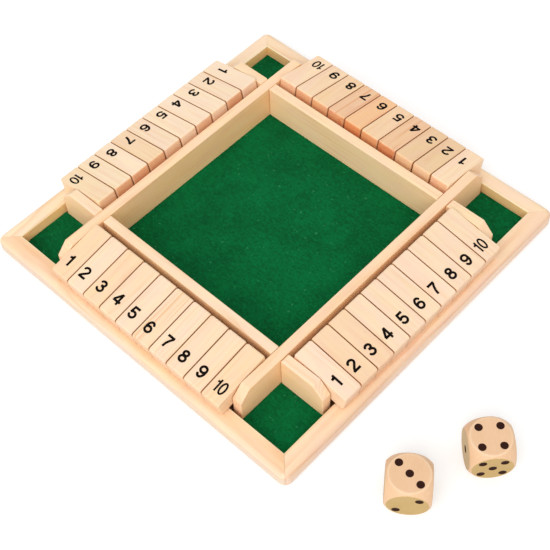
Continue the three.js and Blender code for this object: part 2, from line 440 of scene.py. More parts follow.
def make_piece(
    name,
    surface,
    body,
    material,
    node=None,
    fibre=(1, 0, 0),
    tint=(1, 1, 1),
    figure=0.4,
    ends=(0.4, 0.4),
    sides=0.0,
):
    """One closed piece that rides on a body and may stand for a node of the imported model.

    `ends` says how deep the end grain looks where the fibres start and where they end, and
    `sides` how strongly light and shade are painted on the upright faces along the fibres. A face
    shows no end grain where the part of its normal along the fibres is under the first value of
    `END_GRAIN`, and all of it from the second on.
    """
    points, faces = np.asarray(surface[0], float), surface[1]
    chance = np.random.default_rng(list(name.encode()))
    along = unit(fibre)
    across = unit(np.cross((0, 0, 1), along))
    plank = np.array([along, across, np.cross(along, across)])
    heart = np.array(
        [
            chance.uniform(-HEART_ALONG, HEART_ALONG),
            chance.uniform(-HEART_ASIDE, HEART_ASIDE),
            -chance.uniform(*HEART_BELOW),
        ]
    )

    mesh = bpy.data.meshes.new(name)
    mesh.from_pydata(points.tolist(), [], faces)
    store(mesh, "grain", "FLOAT_VECTOR", "POINT", (points - points.mean(0)) @ plank.T - heart)
    store(mesh, "tint", "FLOAT_VECTOR", "POINT", np.broadcast_to(tint, (len(points), 3)))
    store(mesh, "figure", "FLOAT", "POINT", np.full(len(points), figure))
    for extra, values in (surface[2] if len(surface) > 2 else {}).items():
        store(mesh, extra, "FLOAT", "POINT", values)
    welded = bmesh.new()
    welded.from_mesh(mesh)
    bmesh.ops.remove_doubles(welded, verts=welded.verts, dist=WELD)
    welded.to_mesh(mesh)
    welded.free()

    normals = np.zeros(3 * len(mesh.polygons), np.float32)
    mesh.polygons.foreach_get("normal", normals)
    cut, side = (normals.reshape(-1, 3) @ np.array([along, across]).T).T
    shown = np.interp(np.abs(cut), END_GRAIN, (0, 1))
    store(mesh, "end", "FLOAT", "FACE", np.where(cut < 0, *ends) * shown)
    # Painted light and shade on upright faces along the fibres, as strong as sides says.
    store(mesh, "side", "FLOAT", "FACE", sides * side**4)
    mesh.shade_smooth()
    mesh.set_sharp_from_angle(angle=SHARP_ANGLE)
    mesh.materials.append(material)

    piece = bpy.data.objects.new(name, mesh)
    bpy.context.scene.collection.objects.link(piece)
    piece.modifiers.new("even shading", "WEIGHTED_NORMAL").keep_sharp = True
    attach(piece, body)
    if node:
        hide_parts(node)
    return piece


def placed(surface, x_axis, y_axis, z_axis, origin):
    """A surface moved so that its x, y and z run along the given directions from the origin."""
    turned = surface[0] @ np.array([x_axis, y_axis, z_axis], float)
    return (turned + np.array(origin, float), *surface[1:])


def quarter_turn(points, quarters):
    """Points turned about the board's centre by quarter turns, anticlockwise from above."""
    cos, sin = ((1, 0), (0, 1), (-1, 0), (0, -1))[quarters]
    return np.asarray(points, float) @ np.array([[cos, sin, 0], [-sin, cos, 0], [0, 0, 1]], float)


# %% [markdown]
# ## Boards with rounded arrises
#
# Tiles, walls, the panel and the rods are all boards: an outline carried through a thickness.
# A sharp wooden edge is always sanded a little, and that rounded edge, the arris, is what catches
# the light. So near each flat face the outline is drawn in along a quarter circle. With an angle
# t that falls from 90 degrees at the face to 0, it is drawn in by `arris * (1 - cos t)` at a depth
# of `arris * (1 - sin t)`.

# %% Boards with rounded arrises
def cross(first, second):
    """Twice the area of the triangle between flat vectors, negative if the second turns right."""
    return first[..., 0] * second[..., 1] - first[..., 1] * second[..., 0]


def rounded_outline(corners, steps=6):
    """Points and outward normals round a convex outline, anticlockwise.

    Each corner is x, y and a radius. Its arc's centre is a radius away from both sides, and its
    normal turns evenly from one side's normal to the next one's.
    """
    corners = np.array(corners, float)
    place, radius = corners[:, :2], corners[:, 2]
    leaving = np.roll(place, -1, 0) - place
    leaving /= np.linalg.norm(leaving, axis=1)[:, None]
    last = np.column_stack([leaving[:, 1], -leaving[:, 0]])
    first = np.roll(last, 1, 0)
    along = np.sum(first * last, 1)
    centre = place - (first + last) * (radius / (1 + along))[:, None]
    turn = np.arctan2(cross(first, last), along)
    start = np.arctan2(first[:, 1], first[:, 0])
    angle = start[:, None] + turn[:, None] * np.linspace(0, 1, steps + 1)
    normals = np.stack([np.cos(angle), np.sin(angle)], -1)
    points = centre[:, None] + radius[:, None, None] * normals
    return points.reshape(-1, 2), normals.reshape(-1, 2)


def circle(radius, steps=24):
    """Points and outward normals round a circle."""
    angles = np.linspace(0, 2 * np.pi, steps, endpoint=False)
    normals = np.column_stack([np.cos(angles), np.sin(angles)])
    return radius * normals, normals


print("points round a bore:", len(circle(BORE_RADIUS)[0]))

# %% [markdown]
# A flat face with holes in it can't be one polygon, so it is filled with triangles. They come in
# no certain turn, so each is turned to face the way that the whole face looks.

# %% Faces with holes
def flat_face(loops, upwards):
    """Triangles that fill an outline and leave its holes open, all facing the same way along z."""
    flat = np.concatenate(loops)
    polygons = [[Vector((x, y, 0)) for x, y in loop] for loop in loops]
    triangles = np.array(tessellate_polygon(polygons))
    a, b, c = (flat[triangles[:, i]] for i in range(3))
    wrong = (cross(b - a, c - a) > 0) != upwards
    triangles[wrong] = triangles[wrong][:, ::-1]
    return triangles


corner_cut = [np.array([(0, 0), (2, 0), (2, 1), (1, 2), (0, 2)], float)]
print("triangles in a five-sided face:", len(flat_face(corner_cut, True)))

# %% [markdown]
# The rings of points run from the low face to the high one, with more of them where an arris
# turns. Each hole adds a ring at its mouth and one at its bottom, and a blind one gets a floor.

# %% A board
def board(outline, thickness, arris, holes=(), depths=(), steps=3):
    """Points and faces of a board whose outline lies in x and y and whose thickness runs along z.

    A hole is x, y, radius, the face it opens on ("low", "high" or "both") and its depth. `depths`
    asks for more rings of points, at these distances from both flat faces.
    """
    shape, normals = outline
    angles = np.linspace(np.pi / 2, 0, steps + 1)
    inset = np.concatenate([arris * (1 - np.cos(angles)), np.zeros(len(depths))])
    depth = np.concatenate([arris * (1 - np.sin(angles)), depths])
    inset, heights = np.append(inset, inset[::-1]), np.append(depth, thickness - depth[::-1])
    rings, count = len(heights), len(shape)
    flat = shape - inset[:, None, None] * normals
    levels = np.broadcast_to(heights[:, None, None], (rings, count, 1))
    points = [np.dstack([flat, levels]).reshape(-1, 3)]
    faces = grid_faces(rings, count, around=True)

    size = rings * count
    mouths = {"low": [], "high": []}
    for x, y, radius, opening, hole_depth in holes:
        ring = circle(radius)[0] + (x, y)
        bottom = thickness - hole_depth if opening == "high" else 0
        top = hole_depth if opening == "low" else thickness
        points += [np.column_stack([ring, np.full(len(ring), z)]) for z in (bottom, top)]
        lower = np.arange(size, size + len(ring))
        upper = lower + len(ring)
        faces += [face[::-1] for face in grid_faces(2, len(ring), around=True, start=size)]
        size += 2 * len(ring)
        if opening == "high":
            faces.append(lower.tolist())
        else:
            mouths["low"].append((ring, lower))
        if opening == "low":
            faces.append(upper[::-1].tolist())
        else:
            mouths["high"].append((ring, upper))

    inner = shape - arris * normals
    for name, start, upwards in (("low", 0, False), ("high", (rings - 1) * count, True)):
        numbers = np.concatenate([np.arange(start, start + count)] + [n for _, n in mouths[name]])
        faces += numbers[flat_face([inner] + [ring for ring, _ in mouths[name]], upwards)].tolist()
    return np.concatenate(points), faces


print("faces of a plain round board:", len(board(circle(BORE_RADIUS), 1 * MM, 0.1 * MM)[1]))

# %% [markdown]
# ## Outer rails
#
# Four rails are mitred at the corners, and each has a well rounded outer edge. Bevelling a ring
# would round the edge too, but the mitres would be lost. So a rail's section is carried along its
# side and then round half of each plan corner, whose centre lies 6 mm in from the outer faces.
# Points of the section that lie further in than that run straight to the mitre. The others turn
# with the corner: at an angle a, a point that is r outside the centre lies `r * sin a` further
# along and `r * cos a` out.
#
# Each rail has tints of its own for its top, its round, its outer face and its inner face. They
# paint light and shade: a round and outer face lighter or darker by how light falls on each side,
# a painted highlight along the inner arris, and painted shade on the inner face in the pockets.

# %% Outer rails
RAIL_INNER = 135.7 * MM
RAIL_WIDTH = BOARD_HALF - RAIL_INNER
RAIL_HEIGHT = 14.2 * MM
RAIL_TOP_ROUND = 4.8 * MM
RAIL_BOTTOM_ROUND = 2.5 * MM
RAIL_ARRIS = 0.6 * MM
RAIL_EDGE = 1.3 * MM
BOARD_CORNER = 6 * MM
REBATE_WIDTH = 5 * MM
REBATE_HEIGHT = 4.3 * MM
MITRE_GAP = 0.12 * MM


def rail_surface(steps=8):
    """Points and faces of the south rail."""
    reach = RAIL_WIDTH - BOARD_CORNER
    outline = rounded_outline(
        [
            (RAIL_WIDTH, 0, RAIL_BOTTOM_ROUND),
            (RAIL_WIDTH, RAIL_HEIGHT, RAIL_TOP_ROUND),
            (0, RAIL_HEIGHT, RAIL_ARRIS),
            (0, REBATE_HEIGHT, 0),
        ],
        steps,
    )[0]
    outside, arris = outline[: 2 * (steps + 1)], outline[2 * (steps + 1) : 3 * (steps + 1)]
    top = [(reach, RAIL_HEIGHT), (RAIL_EDGE, RAIL_HEIGHT)]
    rebate = [(0, REBATE_HEIGHT), (REBATE_WIDTH, REBATE_HEIGHT), (REBATE_WIDTH, 0), (reach, 0)]
    section = np.concatenate([outside, top, arris, rebate])
    trim = MITRE_GAP / math.sqrt(2)
    out, height = section[:, 0], section[:, 1]
    radius = np.maximum(out - reach, 0)
    last = np.pi / 4 - np.arcsin(np.clip(trim / (math.sqrt(2) * np.maximum(radius, trim)), 0, 1))
    share = np.append(np.linspace(1, 0, steps + 1), np.linspace(0, 1, steps + 1))[:, None]
    hand = np.repeat((1, -1), steps + 1)[:, None]
    turning, centre = radius > 0, RAIL_INNER + reach
    x = np.where(turning, centre + radius * np.sin(last * share), RAIL_INNER + out - trim)
    y = np.where(turning, centre + radius * np.cos(last * share), RAIL_INNER + out)
    points = np.stack([hand * x, -y, np.broadcast_to(height, x.shape)], -1)
    faces = grid_faces(len(points), len(section), around=True)
    mitre = np.column_stack([np.hypot(points[0, :, 0], points[0, :, 1]), height])
    faces += flat_face([mitre], False).tolist()
    faces += (flat_face([mitre], True) + (len(points) - 1) * len(section)).tolist()
    return points.reshape(-1, 3), faces


# Painted light and shade: tints for each rail's top, round, outer face and inner face.
RAIL_LIGHT_AND_SHADE = {
    "south": ((1.0, 0.955, 0.9), (0.99, 0.97, 1.01), (0.86, 0.94, 1.1), (0.96, 0.87, 0.68)),
    "east": ((1.0, 0.97, 0.97), (0.87, 0.8, 0.83), (0.95, 0.96, 1.08), (0.96, 0.87, 0.68)),
    "north": ((1.02, 1.05, 1.07), (1.04, 1.15, 1.28), (0.95, 0.96, 1.06), (1.05, 0.97, 0.71)),
    "west": ((1.04, 1.08, 1.1), (1.04, 1.15, 1.28), (0.95, 0.96, 1.06), (1.18, 1.1, 0.79)),
}
# A painted highlight along the inner arris of each rail.
ARRIS_HIGHLIGHT = (0.96, 1.12, 1.14)
TINT_ANGLES = (0, 66, 90)


def rail_light_and_shade(points, top, rounded, outer, inner):
    """Painted light and shade for each point of the south rail, by its degrees round the top edge.
    """
    out, height = -points[:, 1] - RAIL_INNER, points[:, 2]
    beyond = np.maximum(out - (RAIL_WIDTH - RAIL_TOP_ROUND), 0)
    above = np.maximum(height - (RAIL_HEIGHT - RAIL_TOP_ROUND), 0)
    turned = np.degrees(np.arctan2(beyond, above))
    channels = np.transpose([top, rounded, outer])
    tints = np.column_stack([np.interp(turned, TINT_ANGLES, channel) for channel in channels])
    # Painted highlight along the inner arris, and painted shade on the inner face below it.
    facing_in = out < RAIL_ARRIS * 1.01
    tints[facing_in] = ARRIS_HIGHLIGHT
    tints[facing_in & (height < RAIL_HEIGHT - RAIL_ARRIS / 2)] = inner
    return tints


rail = rail_surface()
for quarters, side in enumerate(SIDES):
    make_piece(
        f"{side}_rail",
        (quarter_turn(rail[0], quarters), rail[1]),
        "board",
        frame_pine,
        f"rail_{side}",
        fibre=quarter_turn((1, 0, 0), quarters),
        tint=rail_light_and_shade(rail[0], *RAIL_LIGHT_AND_SHADE[side]),
    )
print("rails: 4 of", len(rail[1]), "faces")

# %% [markdown]
# ## Panel and felt
#
# A plywood panel is let into the rails, and one sheet of felt is glued all over it. The walls
# stand on the felt, so the same green shows in the tray and in the four corner pockets.

# %% Panel and felt
PANEL_HALF = 140.4 * MM
PANEL_ARRIS = 0.2 * MM
FELT_HALF = 135.4 * MM
FELT_ARRIS = 0.3 * MM
SHEET_CORNER = 0.5 * MM
SQUARE = ((1, -1), (1, 1), (-1, 1), (-1, -1))


def slab(half, bottom, top, arris):
    """A flat square board with slightly rounded corners."""
    outline = rounded_outline([(x * half, y * half, SHEET_CORNER) for x, y in SQUARE])
    return placed(board(outline, top - bottom, arris), *np.eye(3), (0, 0, bottom))


panel = slab(PANEL_HALF, 0, FELT_BOTTOM, PANEL_ARRIS)
lining = slab(FELT_HALF, FELT_BOTTOM, FELT_TOP, FELT_ARRIS)
make_piece("plywood_base", panel, "board", birch_plywood, "base_panel")
felt_lining = make_piece("felt_lining", lining, "board", green_felt, "felt")
print("felt:", 2 * FELT_HALF, "m square")

# %% [markdown]
# ## Walls and dividers
#
# Two walls run right through from rail to rail. Their ends are clipped on a slant, so that
# fingers can reach the end tiles. The other two walls stand between them, and four short dividers
# carry on outside. A wall that holds a rod's end has a blind socket for it. A Boolean modifier
# could cut the sockets, but a hole that the face is built round leaves no stray faces.
#
# Each side's boards have a tint, and a strength for their upright faces. Both paint light and
# shade: they make the boards and their upright faces lighter or deeper by how light falls on each
# side.

# %% Walls and dividers
WALL_ARRIS = 0.7 * MM
DIVIDER_END = 133 * MM
CLIP_LENGTH = 9.3 * MM
CLIP_DROP = 9.5 * MM
CLIP_ROUND = 1.6 * MM
BUTT_ROUND = 0.8 * MM
BUTT_TOP_ROUND = 2 * MM
JOINT_GAP = 0.3 * MM
SOCKET_DEPTH = 4.3 * MM
CLIPPED_END = (
    (DIVIDER_END, FELT_TOP, BUTT_ROUND),
    (DIVIDER_END, WALL_TOP - CLIP_DROP, CLIP_ROUND),
    (DIVIDER_END - CLIP_LENGTH, WALL_TOP, CLIP_ROUND),
)
# Painted light and shade: each side's tint and the strength of its painted upright faces.
WALL_LIGHT_TONES = {
    "west": ((1.02, 0.99, 0.93), 0.75),
    "east": ((0.99, 0.955, 0.93), 0.6),
    "south": ((0.99, 1.02, 1.04), 0.6),
    "north": ((1.01, 1.02, 0.97), 0.3),
}
rod_distance = -hinges["tile_south_1"]["pos_m"][1]
rod_height = hinges["tile_south_1"]["pos_m"][2]


def socket(place, opening):
    """A blind hole for a rod's end: its place along the board, and the face it opens on."""
    return place, rod_height, BORE_RADIUS, opening, SOCKET_DEPTH


def standing_board(name, node, side, corners, direction, start, sockets=()):
    """A board on edge: its outline runs along a direction and up, its thickness from a start."""
    along = np.array(direction, float)
    through = np.cross(along, (0, 0, 1))
    surface = board(rounded_outline(corners), WALL_THICKNESS, WALL_ARRIS, sockets)
    surface = placed(surface, along, (0, 0, 1), through, through * start)
    tint, sides = WALL_LIGHT_TONES[side]
    make_piece(
        name,
        surface,
        "board",
        frame_pine,
        node,
        fibre=along,
        tint=tint,
        figure=0.3,
        ends=(0.15, 0.15),
        sides=sides,
    )


for side, start, opening in (("west", -DIVIDER_OUTER, "high"), ("east", TRAY_HALF, "low")):
    corners = [*CLIPPED_END, *((-x, z, radius) for x, z, radius in reversed(CLIPPED_END))]
    sockets = [socket(rod_distance, opening), socket(-rod_distance, opening)]
    standing_board(f"{side}_wall", f"wall_{side}", side, corners, (0, 1, 0), start, sockets)

for side, start in (("south", TRAY_HALF), ("north", -DIVIDER_OUTER)):
    half = TRAY_HALF - JOINT_GAP
    ends = ((half, FELT_TOP), (half, WALL_TOP), (-half, WALL_TOP), (-half, FELT_TOP))
    corners = [(x, z, BUTT_ROUND) for x, z in ends]
    standing_board(f"{side}_wall", f"wall_{side}", side, corners, (1, 0, 0), start)

for side in ("north", "south"):
    for end, eastward in (("east", 1), ("west", -1)):
        butt = DIVIDER_OUTER + JOINT_GAP
        corners = [(butt, FELT_TOP, BUTT_ROUND), *CLIPPED_END, (butt, WALL_TOP, BUTT_TOP_ROUND)]
        outwards = (side == "south") == (eastward == 1)
        start, opening = (TRAY_HALF, "low") if outwards else (-DIVIDER_OUTER, "high")
        names = f"{side}{end}_divider", f"divider_{side}{end}"
        blind = [socket(rod_distance, opening)]
        standing_board(*names, side, corners, (eastward, 0, 0), start, blind)
print("walls and dividers: 8, rods", round(rod_height / MM, 1), "mm up")

# %% [markdown]
# ## Hinge rods
#
# One steel rod carries each row. It hides in the tiles' bores and in its two sockets, and shows
# only as a glint between two tiles, so a plain rounded cylinder is enough.

# %% Hinge rods
ROD_RADIUS = 1.5 * MM
ROD_ARRIS = 0.2 * MM

for quarters, side in enumerate(SIDES):
    low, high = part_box(f"rod_{side}")
    length = max(high - low)
    rod = board(circle(ROD_RADIUS), length, ROD_ARRIS)
    rod = placed(rod, (0, 0, 1), (0, 1, 0), (-1, 0, 0), (length / 2, -rod_distance, rod_height))
    rod = (quarter_turn(rod[0], quarters), rod[1])
    make_piece(f"{side}_rod", rod, "board", bright_steel, f"rod_{side}")
print("rods: 4 of", round(length / MM, 1), "mm")

# %% [markdown]
# ## Tiles
#
# A tile is a board too, with its outline seen from the side: a rounded heel, a top that slopes to
# the rail, and a nose. It is bored for its rod. The corners at both ends are rounded in plan as
# well: at a depth d from a side face, with a corner radius p, the end is drawn back by
# `p - sqrt(p^2 - (p - d)^2)`.
#
# Forty tiles of one shape still look like forty pieces of wood. Each has the tint of its strip,
# and each row a tint as well, which paints light and shade: it evens out how the lamp lights each
# row's slope. The heels' depths say how dark the end grain of each heel is, and on the north and
# west rows this also paints the shade of the trough that the heels stand in; on the south and
# east rows it is faint, which makes that trough lighter. A side face that looks on a narrow seam
# gets painted shade, and one that stands open stays pale.

# %% Tiles
TILE_WIDTH = 16.24 * MM
TILE_THICKNESS = 15 * MM
TILE_HEEL = 5.6 * MM
TILE_REACH = 41.9 * MM
TILE_SLOPE = math.radians(10.774)
TILE_ARRIS = 0.25 * MM
HEEL_BOTTOM_ROUND = 3 * MM
NOSE_BOTTOM_ROUND = 0.8 * MM
NOSE_TOP_ROUND = 2 * MM
HEEL_TOP_ROUND = 1.5 * MM
NOSE_PLAN_ROUND = 1.1 * MM
HEEL_PLAN_ROUND = 1.3 * MM
PLAN_STEPS = 6


def tile_surface():
    """Points and faces of a tile: x runs outwards along it from the rod, y up and z across it."""
    half = TILE_THICKNESS / 2
    outline = rounded_outline(
        [
            (-TILE_HEEL, -half, HEEL_BOTTOM_ROUND),
            (TILE_REACH, -half, NOSE_BOTTOM_ROUND),
            (TILE_REACH, half, NOSE_TOP_ROUND),
            (-TILE_HEEL, half, HEEL_TOP_ROUND),
        ],
        8,
    )
    bore = [(0, 0, BORE_RADIUS, "both", TILE_WIDTH)]
    depths = np.linspace(TILE_ARRIS, HEEL_PLAN_ROUND, PLAN_STEPS)[1:]
    points, faces = board(outline, TILE_WIDTH, TILE_ARRIS, bore, depths)
    along, to_side = points[:, 0], np.minimum(points[:, 2], TILE_WIDTH - points[:, 2])
    ends = ((along > TILE_REACH / 2, NOSE_PLAN_ROUND), (along < -BORE_RADIUS, -HEEL_PLAN_ROUND))
    for end, radius in ends:
        inside = np.clip(abs(radius) - to_side, 0, None)
        drawn_back = radius - np.sign(radius) * np.sqrt(radius**2 - inside**2)
        points[:, 0] -= np.where(end, drawn_back, 0)
    points[:, 2] -= TILE_WIDTH / 2
    return points, faces


def tile_axes(hinge):
    """Three directions of a tile at rest: outwards along it, up from its face, along its rod."""
    axis, up = np.array(hinge["axis"], float), np.array((0, 0, 1.0))
    outward = np.cross(up, axis)
    cos, sin = math.cos(TILE_SLOPE), math.sin(TILE_SLOPE)
    return outward * cos - up * sin, outward * sin + up * cos, axis


PALE, CREAM, ROSE = (1.0, 1.0, 1.0), (0.97, 0.97, 0.93), (0.97, 0.95, 0.94)
AMBER, TAN, DEEP = (0.96, 0.93, 0.83), (0.95, 0.89, 0.8), (0.95, 0.76, 0.59)
HONEY, RUSSET = (0.88, 0.81, 0.7), (0.9, 0.77, 0.68)
TILE_TINTS = {
    "south": (AMBER, PALE, AMBER, CREAM, PALE, CREAM, PALE, CREAM, CREAM, AMBER),
    "east": (PALE, TAN, TAN, CREAM, CREAM, CREAM, PALE, CREAM, CREAM, CREAM),
    "north": (PALE, HONEY, HONEY, RUSSET, TAN, DEEP, RUSSET, TAN, ROSE, PALE),
    "west": (PALE, ROSE, PALE, PALE, PALE, ROSE, TAN, PALE, CREAM, AMBER),
}
# Painted light and shade: each row's tint evens out how the lamp lights its slope.
ROW_LIGHT_TINTS = {
    "south": (0.96, 0.93, 0.94),
    "east": (0.97, 0.95, 0.98),
    "north": (1.02, 0.99, 0.96),
    "west": (1.0, 1.02, 1.04),
}
FAINT = 0.2
# End grain of each heel, darker on the north and west rows as painted trough shade.
HEEL_DEPTHS_AND_SHADE = {
    "south": np.random.default_rng(0).uniform(0, FAINT, 10),
    "east": np.random.default_rng(1).uniform(0, FAINT, 10),
    "north": (0.5, 0.1, 0.25, 0.85, 0.8, 0.83, 0.65, 0.65, 0.7, 0.5),
    "west": (0.2, 0.7, 0.25, 0.6, 0.2, 0.4, 0.6, 0.8, 0.7, 0.4),
}
NOSE_DEPTH = 0.25
PLAIN_FIGURE = 0.25
STRONG_FIGURES = {
    "tile_north_7": 0.55,
    "tile_north_4": 0.7,
    "tile_north_6": 0.5,
    "tile_south_6": 0.6,
}
OPEN_SIDED = ("tile_south_10", "tile_east_1", "tile_north_1", "tile_west_10")
# Painted shade on tile sides in narrow seams, and almost none on open sides.
OPEN_SIDE, SEAM_PAINTED_SHADE = 0.05, 0.8

tile = tile_surface()
for side in SIDES:
    for number in range(1, 11):
        node = f"tile_{side}_{number}"
        axes = tile_axes(hinges[node])
        make_piece(
            f"{side}_tile_{number}",
            placed(tile, *axes, hinges[node]["pos_m"]),
            node,
            tile_pine,
            node,
            fibre=axes[0],
            tint=np.array(TILE_TINTS[side][number - 1]) * ROW_LIGHT_TINTS[side],
            figure=STRONG_FIGURES.get(node, PLAIN_FIGURE),
            ends=(HEEL_DEPTHS_AND_SHADE[side][number - 1], NOSE_DEPTH),
            sides=OPEN_SIDE if node in OPEN_SIDED else SEAM_PAINTED_SHADE,
        )
print("tiles: 40 of", len(tile[1]), "faces")

# %% [markdown]
# ## Numbers
#
# The numbers are screen printed. A text object would need a font, and its shape would be the
# font's. So a numeral is drawn here with a broad pen: straight strokes and parts of ellipses, all
# of one width. A point is in the pen's mark where its distance from the nearest stroke is under
# half that width. Lengths are counted in numeral heights, from 0 to 1. The 10 is drawn with a
# narrower pen.

# %% Numbers
NUMERAL_HEIGHT = 9.6 * MM
BROAD, NARROW = 0.097, 0.077
ARC_STEP = 9


def bow(x, y, wide, high, start, end):
    """Points along part of an ellipse, from one angle to another in degrees."""
    angles = np.radians(np.linspace(start, end, max(3, int(abs(end - start) / ARC_STEP))))
    return [(x + wide * math.cos(a), y + high * math.sin(a)) for a in angles]


NUMERALS = {
    1: [[(0.32, 0), (0.32, 1)], [(0.32, 0.86), (0.2, 0.765), (0.02, 0.735)]],
    2: [
        bow(0.345, 0.705, 0.262, 0.217, 172, -40) + [(0.2, 0.24), (0.11, 0.1)],
        [(0, 0.078), (0.69, 0.078)],
    ],
    3: [
        bow(0.34, 0.735, 0.235, 0.187, 165, -90) + [(0.24, 0.548)],
        bow(0.34, 0.3, 0.262, 0.222, 90, -168),
    ],
    4: [[(0.5, 0), (0.5, 1)], [(0, 0.29), (0.73, 0.29)], [(0.06, 0.31), (0.47, 0.95)]],
    5: [
        [(0.13, 0.922), (0.65, 0.922)],
        [(0.175, 1), (0.105, 0.44)],
        bow(0.34, 0.325, 0.265, 0.247, 146, -168),
    ],
    6: [bow(0.355, 0.315, 0.262, 0.237, 0, 360), bow(0.37, 0.48, 0.277, 0.442, 190, 34)],
    7: [[(0.02, 0.922), (0.7, 0.922)], [(0.63, 0.9), (0.44, 0.62), (0.31, 0.33), (0.255, 0)]],
    8: [bow(0.35, 0.745, 0.215, 0.177, 0, 360), bow(0.35, 0.3, 0.262, 0.222, 0, 360)],
    9: [bow(0.345, 0.685, 0.262, 0.237, 0, 360), bow(0.33, 0.52, 0.277, 0.442, 10, -146)],
    10: [
        [(0.24, 0), (0.24, 1)],
        [(0.24, 0.84), (0.15, 0.765), (0.01, 0.74)],
        bow(0.7, 0.5, 0.21, 0.445, 0, 360),
    ],
}


def pen_distance(strokes, half_width, x, y):
    """How far each grid point lies outside the pen's mark; negative is inside.

    Each straight length of a stroke is a rectangle with square ends, and each bend in a stroke is
    a round dot. The mark is all of them together, so the smallest distance counts.
    """
    nearest = np.full(x.shape, np.inf)
    for stroke in strokes:
        stroke = np.array(stroke, float)
        for a, b in zip(stroke[:-1], stroke[1:]):
            length = np.linalg.norm(b - a)
            ahead, aside = (b - a) / length
            along = (x - a[0]) * ahead + (y - a[1]) * aside
            off = np.abs((y - a[1]) * ahead - (x - a[0]) * aside)
            beyond = np.maximum(-along, along - length)
            nearest = np.minimum(nearest, np.maximum(off - half_width, beyond))
        closed = np.allclose(stroke[0], stroke[-1])
        for bend in stroke if closed else stroke[1:-1]:
            nearest = np.minimum(nearest, np.hypot(x - bend[0], y - bend[1]) - half_width)
    return nearest


print("strokes:", {number: len(strokes) for number, strokes in NUMERALS.items()})

# %% [markdown]
# The distance is worked out on a grid, and the edge of the mark is the curve on which it is zero.
# It is traced from cell to cell. Then points that a straight line could stand in for are left
# out, so that forty numbers stay light.

# %% Trace an edge
def traced(field, xs, ys):
    """The closed curves on which a sampled field is zero, each with its negative side on the left.

    Every grid cell is walked anticlockwise. A curve comes in where the walk leaves the negative
    side, and goes out where the walk next enters it. The crossing on a grid edge is found by
    proportion between the two samples.
    """
    negative = field < 0
    mixed = negative[:-1, :-1] ^ negative[:-1, 1:] | negative[:-1, 1:] ^ negative[1:, 1:]
    mixed |= negative[1:, 1:] ^ negative[1:, :-1]
    onward = {}
    for j, i in zip(*np.nonzero(mixed)):
        ring = ((j, i), (j, i + 1), (j + 1, i + 1), (j + 1, i))
        sides = [frozenset((ring[k], ring[(k + 1) % 4])) for k in range(4)]
        inside = [bool(negative[corner]) for corner in ring]
        leaves = [k for k in range(4) if inside[k] and not inside[(k + 1) % 4]]
        enters = [k for k in range(4) if not inside[k] and inside[(k + 1) % 4]]
        for k in leaves:
            onward[sides[k]] = sides[min(enters, key=lambda m: (m - k) % 4)]

    def crossing(edge):
        a, b = sorted(edge)
        share = field[a] / (field[a] - field[b])
        x = xs[a[1]] + share * (xs[b[1]] - xs[a[1]])
        y = ys[a[0]] + share * (ys[b[0]] - ys[a[0]])
        return x, y

    curves = []
    while onward:
        edge, curve = next(iter(onward)), []
        while edge in onward:
            curve.append(crossing(edge))
            edge = onward.pop(edge)
        curves.append(np.array(curve))
    return curves


def thinned(curve, tolerance):
    """The curve without every other point that lies almost on the line through its neighbours."""
    for offset in (0, 1, 0, 1):
        span = np.roll(curve, -1, 0) - np.roll(curve, 1, 0)
        step = curve - np.roll(curve, 1, 0)
        off = np.abs(cross(span, step)) / np.linalg.norm(span, axis=1)
        curve = curve[(np.arange(len(curve)) % 2 == offset) | (off > tolerance)]
    return curve


round_grid = np.linspace(-2, 2, 33)
round_field = np.hypot(*np.meshgrid(round_grid, round_grid)) - 1
print("points of a traced circle:", [len(c) for c in traced(round_field, round_grid, round_grid)])

# %% [markdown]
# The traced curves become a thin film of ink, a little above the wood: its two faces are filled
# between the curves, and a rim joins them.

# %% Films of ink
INK_BOTTOM = 0.01 * MM
INK_TOP = 0.05 * MM
GRID = 1 / 64
MARGIN_ASIDE, MARGIN_ABOVE = 0.12, 0.06


def numeral_surface(number):
    """Points and faces of a numeral's film of ink: x to the right, y up it, z out of the wood.

    A curve that runs anticlockwise is an outline, and one that runs clockwise inside it is a hole.
    """
    half_width, strokes = NARROW if number == 10 else BROAD, NUMERALS[number]
    places = np.array([point[0] for stroke in strokes for point in stroke])
    left, right = places.min(), places.max()
    xs = np.arange(left - MARGIN_ASIDE, right + MARGIN_ASIDE, GRID)
    ys = np.arange(-MARGIN_ABOVE, 1 + MARGIN_ABOVE, GRID) + GRID / 3
    curves = traced(pen_distance(strokes, half_width, *np.meshgrid(xs, ys)), xs, ys)
    middle = np.array(((left + right) / 2, 0.5))
    curves = [(thinned(curve, GRID / 30) - middle) * NUMERAL_HEIGHT for curve in curves]
    areas = [np.sum(cross(curve, np.roll(curve, -1, 0))) for curve in curves]
    inner = [curve for curve, area in zip(curves, areas) if area <= 0]
    points, faces, size = [], [], 0
    for outline in (curve for curve, area in zip(curves, areas) if area > 0):
        low, high = outline.min(0), outline.max(0)
        holes = [c for c in inner if (c.min(0) > low).all() and (c.max(0) < high).all()]
        loops = [outline, *holes]
        flat = np.concatenate(loops)
        count = len(flat)
        points += [np.column_stack([flat, np.full(count, z)]) for z in (INK_BOTTOM, INK_TOP)]
        faces += (flat_face(loops, False) + size).tolist()
        faces += (flat_face(loops, True) + size + count).tolist()
        start = size
        for loop in loops:
            here = np.arange(len(loop))
            after = (here + 1) % len(loop)
            rim = np.column_stack([here, after, count + after, count + here]) + start
            faces += rim.tolist()
            start += len(loop)
        size += 2 * count
    return np.concatenate(points), faces


numerals = {number: numeral_surface(number) for number in NUMERALS}
print("faces:", {number: len(faces) for number, (_, faces) in numerals.items()})

# %% [markdown]
# ## Printed rows
#
# Each row was printed in one go and a little crooked, so the numbers wander along the row. These
# are millimetres to the right of the tile's middle, and millimetres out from its rod.

